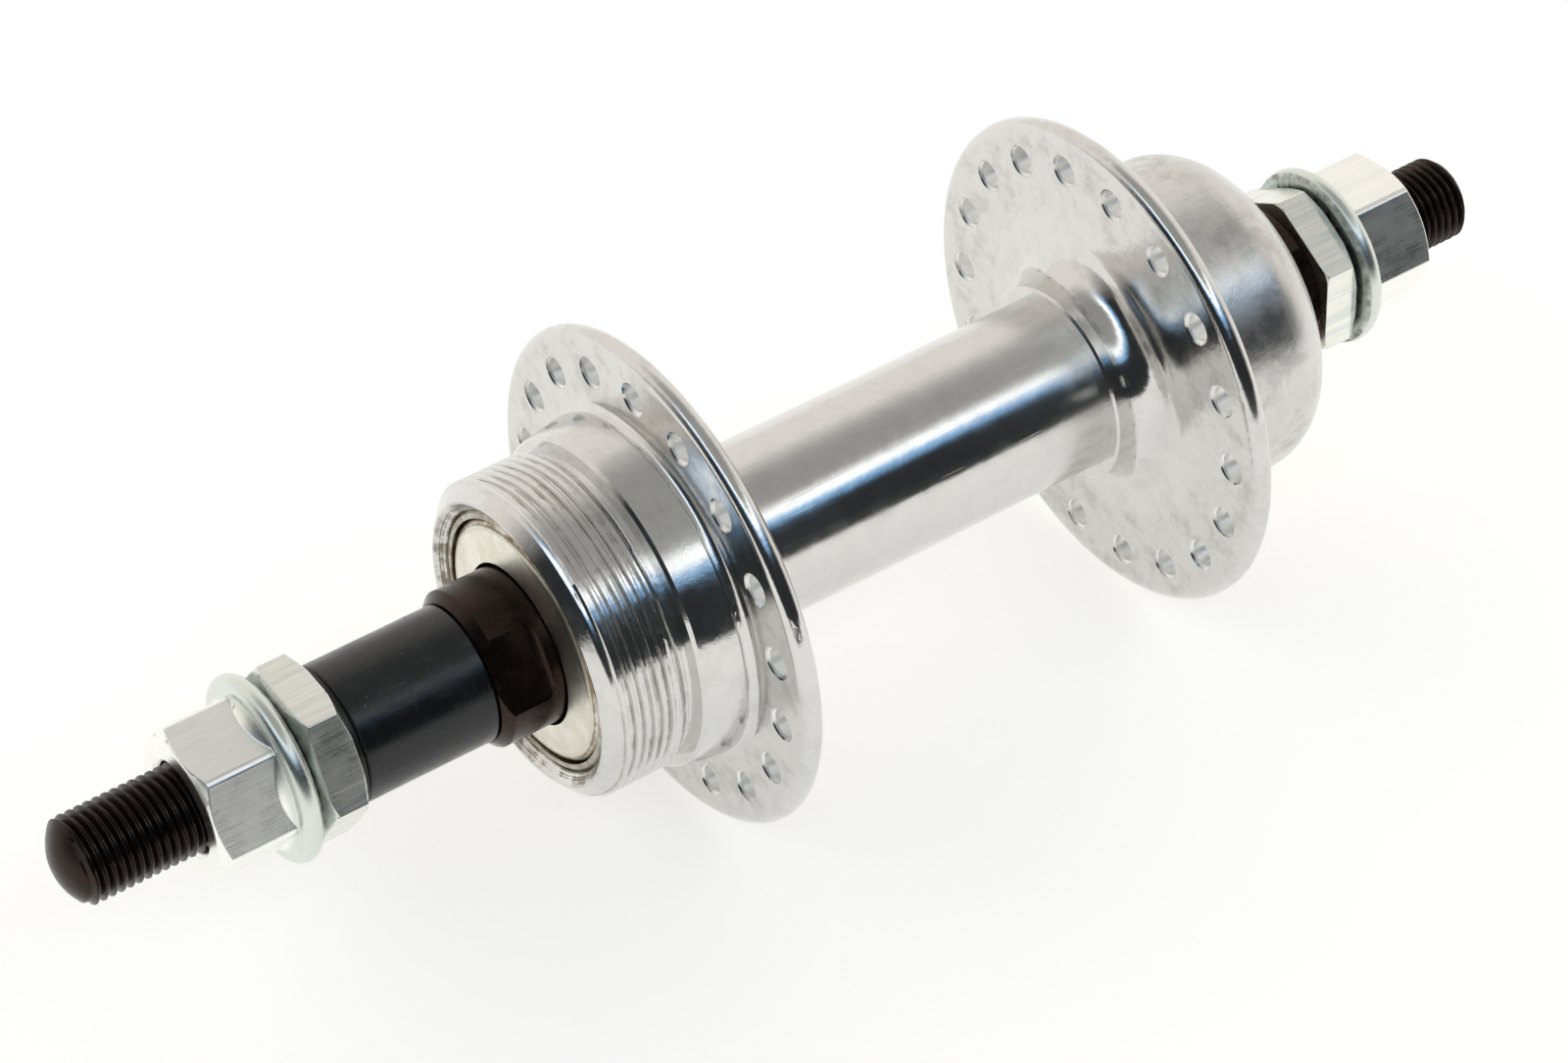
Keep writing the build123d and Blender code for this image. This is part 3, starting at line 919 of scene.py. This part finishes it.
def zinc_finish(name, pale, shade):
    metal = Metal(name, metallic=1.0)
    drawn = metal.stretched(metal.place, polishing)
    lines = metal.noise(drawn, scale=5200, detail=4, roughness=0.75)
    bands = metal.noise(drawn, scale=1300)
    rings = metal.noise(metal.turned, scale=5000, detail=3, roughness=0.6)
    cloud = metal.noise(metal.place, scale=260, detail=4)
    tone = metal.step(metal.plus(bands, lines), start=0.75, end=1.2)
    colour = metal.blend(tone, shade, pale)
    # Painted shade: the rim zone takes a darker, greener colour than the flats.
    colour = metal.blend(metal.zone(metal.outward, *rim_zone), colour, rim_painted_shade)
    chamfer = metal.zone(metal.outward, *chamfer_zone)
    teeth = metal.zone(metal.outward, *teeth_zone)
    dirty = metal.noise(metal.place, scale=700, detail=4, roughness=0.65)
    dirty = metal.step(dirty, start=0.3, end=0.7)
    # Dark patches on the locknut chamfer and the teeth: partly grime, partly painted shade in the
    # gap.
    grime_and_shade = metal.plus(metal.times(chamfer, chamfer_grime_and_shade), metal.times(teeth, teeth_grime_and_shade))
    colour = metal.blend(metal.times(grime_and_shade, dirty), colour, grime_and_gap_shade)
    roughness = metal.step(cloud, start=0.3, end=0.7, low=0.23, high=0.3)
    by_lines = metal.step(lines, start=0.3, end=0.7, low=0.0, high=0.06)
    roughness = metal.plus(roughness, by_lines)
    roughness = metal.plus(roughness, metal.times(metal.plus(chamfer, teeth), grime_haze))
    normal = metal.bump(metal.plus(lines, metal.times(bands, 0.6)), depth=0.0045 * MM)
    normal = metal.bump(rings, depth=0.002 * MM, normal=normal)
    normal = metal.bump(cloud, depth=0.015 * MM, normal=normal)
    return metal.finish(colour, roughness, normal)


nut_zinc = zinc_finish("nut_zinc", nut_colour, nut_shade)
locknut_zinc = zinc_finish("locknut_zinc", locknut_colour, locknut_shade)
for nut in axle_nuts:
    wear(nut, nut_zinc)
for nut in locknuts:
    wear(nut, locknut_zinc)
print("nuts finished")

# %% [markdown]
# ## Dust caps
#
# The dust cap is a pressed ring of thin sheet, zinc plated a little yellow. Grease has crept out
# along its outer edge and dried there, and the very edge has begun to rust.

# %% Dust caps
cap_colour = (0.86, 0.84, 0.76, 1.0)
cap_shade = (0.72, 0.70, 0.60, 1.0)
rust_colour = (0.26, 0.13, 0.05, 1.0)
smear_middle = 12.6
smear_edge = 0.5
rust_middle = 12.85
rust_edge = 0.2
rust_share = 0.7
smear_haze = 0.2


def cap_finish():
    metal = Metal("dust_cap_finish", metallic=1.0)
    rings = metal.noise(metal.turned, scale=3500, detail=4, roughness=0.7)
    cloud = metal.noise(metal.place, scale=350, detail=5, roughness=0.65)
    smear = metal.beyond(metal.radius, smear_middle, smear_edge)
    dirty = metal.step(metal.plus(cloud, rings), start=0.85, end=1.1)
    smear = metal.times(smear, dirty)
    rust = metal.beyond(metal.radius, rust_middle, rust_edge)
    rust = metal.times(rust, metal.step(cloud, start=0.4, end=0.62))
    tone = metal.step(cloud, start=0.35, end=0.65)
    colour = metal.blend(tone, cap_shade, cap_colour)
    colour = metal.blend(smear, colour, grease_colour)
    colour = metal.blend(metal.times(rust, rust_share), colour, rust_colour)
    roughness = metal.step(rings, start=0.3, end=0.7, low=0.25, high=0.38)
    roughness = metal.plus(roughness, metal.times(smear, smear_haze))
    normal = metal.bump(rings, depth=0.004 * MM)
    normal = metal.bump(cloud, depth=0.04 * MM, normal=normal)
    return metal.finish(colour, roughness, normal)


cap = cap_finish()
wear("drive_dust_cap", cap)
wear("non_drive_dust_cap", cap)
print("dust caps finished")

# %% [markdown]
# ## Black oxide
#
# The axle, the cones, the washer and the spacer are blackened steel with a little oil on them.
# On the spacer and the washer the oil shines like dark glass, so these two are not metallic.
# The axle and the cones are browner, where their heat treatment shows through. A very dark
# metal does that, because a metal tints what it reflects.

# %% Black pieces
dust_colour = (0.6, 0.58, 0.52, 1.0)
rubbing = (1.0, 0.05, 1.0)
rubbed_share = 0.6


def black_finish(name, metallic, colour, worn, smoothest, dullest, dust):
    metal = Metal(name, metallic, specular=0.45)
    rubbed = metal.stretched(metal.place, rubbing)
    lines = metal.noise(rubbed, scale=2400, detail=4, roughness=0.7)
    rings = metal.noise(metal.turned, scale=4200, detail=4, roughness=0.7)
    cloud = metal.noise(metal.place, scale=420, detail=5, roughness=0.65)
    speck = metal.step(metal.noise(metal.place, scale=3800, detail=2), start=0.74, end=0.78)
    rub = metal.step(metal.times(cloud, lines), start=0.28, end=0.42)
    tone = metal.blend(metal.times(rub, rubbed_share), colour, worn)
    tone = metal.blend(metal.times(speck, dust), tone, dust_colour)
    normal = metal.bump(rings, depth=0.004 * MM)
    normal = metal.bump(cloud, depth=0.02 * MM, normal=normal)
    roughness = metal.step(cloud, start=0.3, end=0.7, low=smoothest, high=dullest)
    return metal.finish(tone, roughness, normal)


spacer_black = black_finish(
    "spacer_black",
    metallic=0.0,
    colour=(0.011, 0.012, 0.013, 1),
    worn=(0.05, 0.05, 0.048, 1),
    smoothest=0.2,
    dullest=0.34,
    dust=0.8,
)
washer_black = black_finish(
    "washer_black",
    metallic=0.0,
    colour=(0.012, 0.011, 0.010, 1),
    worn=(0.04, 0.037, 0.033, 1),
    smoothest=0.3,
    dullest=0.4,
    dust=0.5,
)
cone_black = black_finish(
    "cone_black",
    metallic=0.9,
    colour=(0.038, 0.025, 0.020, 1),
    worn=(0.075, 0.050, 0.040, 1),
    smoothest=0.2,
    dullest=0.34,
    dust=0.5,
)
axle_black = black_finish(
    "axle_black",
    metallic=0.9,
    colour=(0.034, 0.024, 0.020, 1),
    worn=(0.10, 0.078, 0.064, 1),
    smoothest=0.24,
    dullest=0.38,
    dust=0.3,
)
wear("drive_spacer", spacer_black)
wear("drive_lock_washer", washer_black)
wear("drive_cone", cone_black)
wear("non_drive_cone", cone_black)
wear(axle, axle_black)
print("black pieces finished")

# %% [markdown]
# ## Bearings
#
# The balls, their cages and the cups are bare steel under grease. Little of them shows, but the
# balls are the most perfect mirrors in the hub, and the cages are dull pressed sheet.

# %% Bearing steel
def steel_finish(name, colour, shade, smoothest, dullest):
    metal = Metal(name, metallic=1.0)
    cloud = metal.noise(metal.place, scale=600, detail=4, roughness=0.6)
    rings = metal.noise(metal.turned, scale=4000, detail=3, roughness=0.6)
    tone = metal.blend(metal.step(cloud, start=0.35, end=0.65), colour, shade)
    roughness = metal.step(cloud, start=0.3, end=0.7, low=smoothest, high=dullest)
    return metal.finish(tone, roughness, metal.bump(rings, depth=0.002 * MM))


ball_steel = steel_finish(
    "ball_steel",
    colour=(0.62, 0.62, 0.61, 1),
    shade=(0.5, 0.49, 0.46, 1),
    smoothest=0.05,
    dullest=0.12,
)
cup_steel = steel_finish(
    "cup_steel",
    colour=(0.50, 0.49, 0.46, 1),
    shade=(0.32, 0.29, 0.22, 1),
    smoothest=0.2,
    dullest=0.35,
)
cage_steel = steel_finish(
    "cage_steel",
    colour=(0.42, 0.40, 0.36, 1),
    shade=(0.28, 0.26, 0.21, 1),
    smoothest=0.35,
    dullest=0.5,
)
for side in sides:
    wear(f"{side}_balls", ball_steel)
    wear(f"{side}_bearing_cup", cup_steel)
    wear(f"{side}_ball_cage", cage_steel)
print("bearings finished")

# %% [markdown]
# ## Ready to render
#
# The picture keeps Blender's plain colours, so a white in the scene is a white in the picture.

# %% Finish
bpy.context.scene.view_settings.view_transform = "Standard"
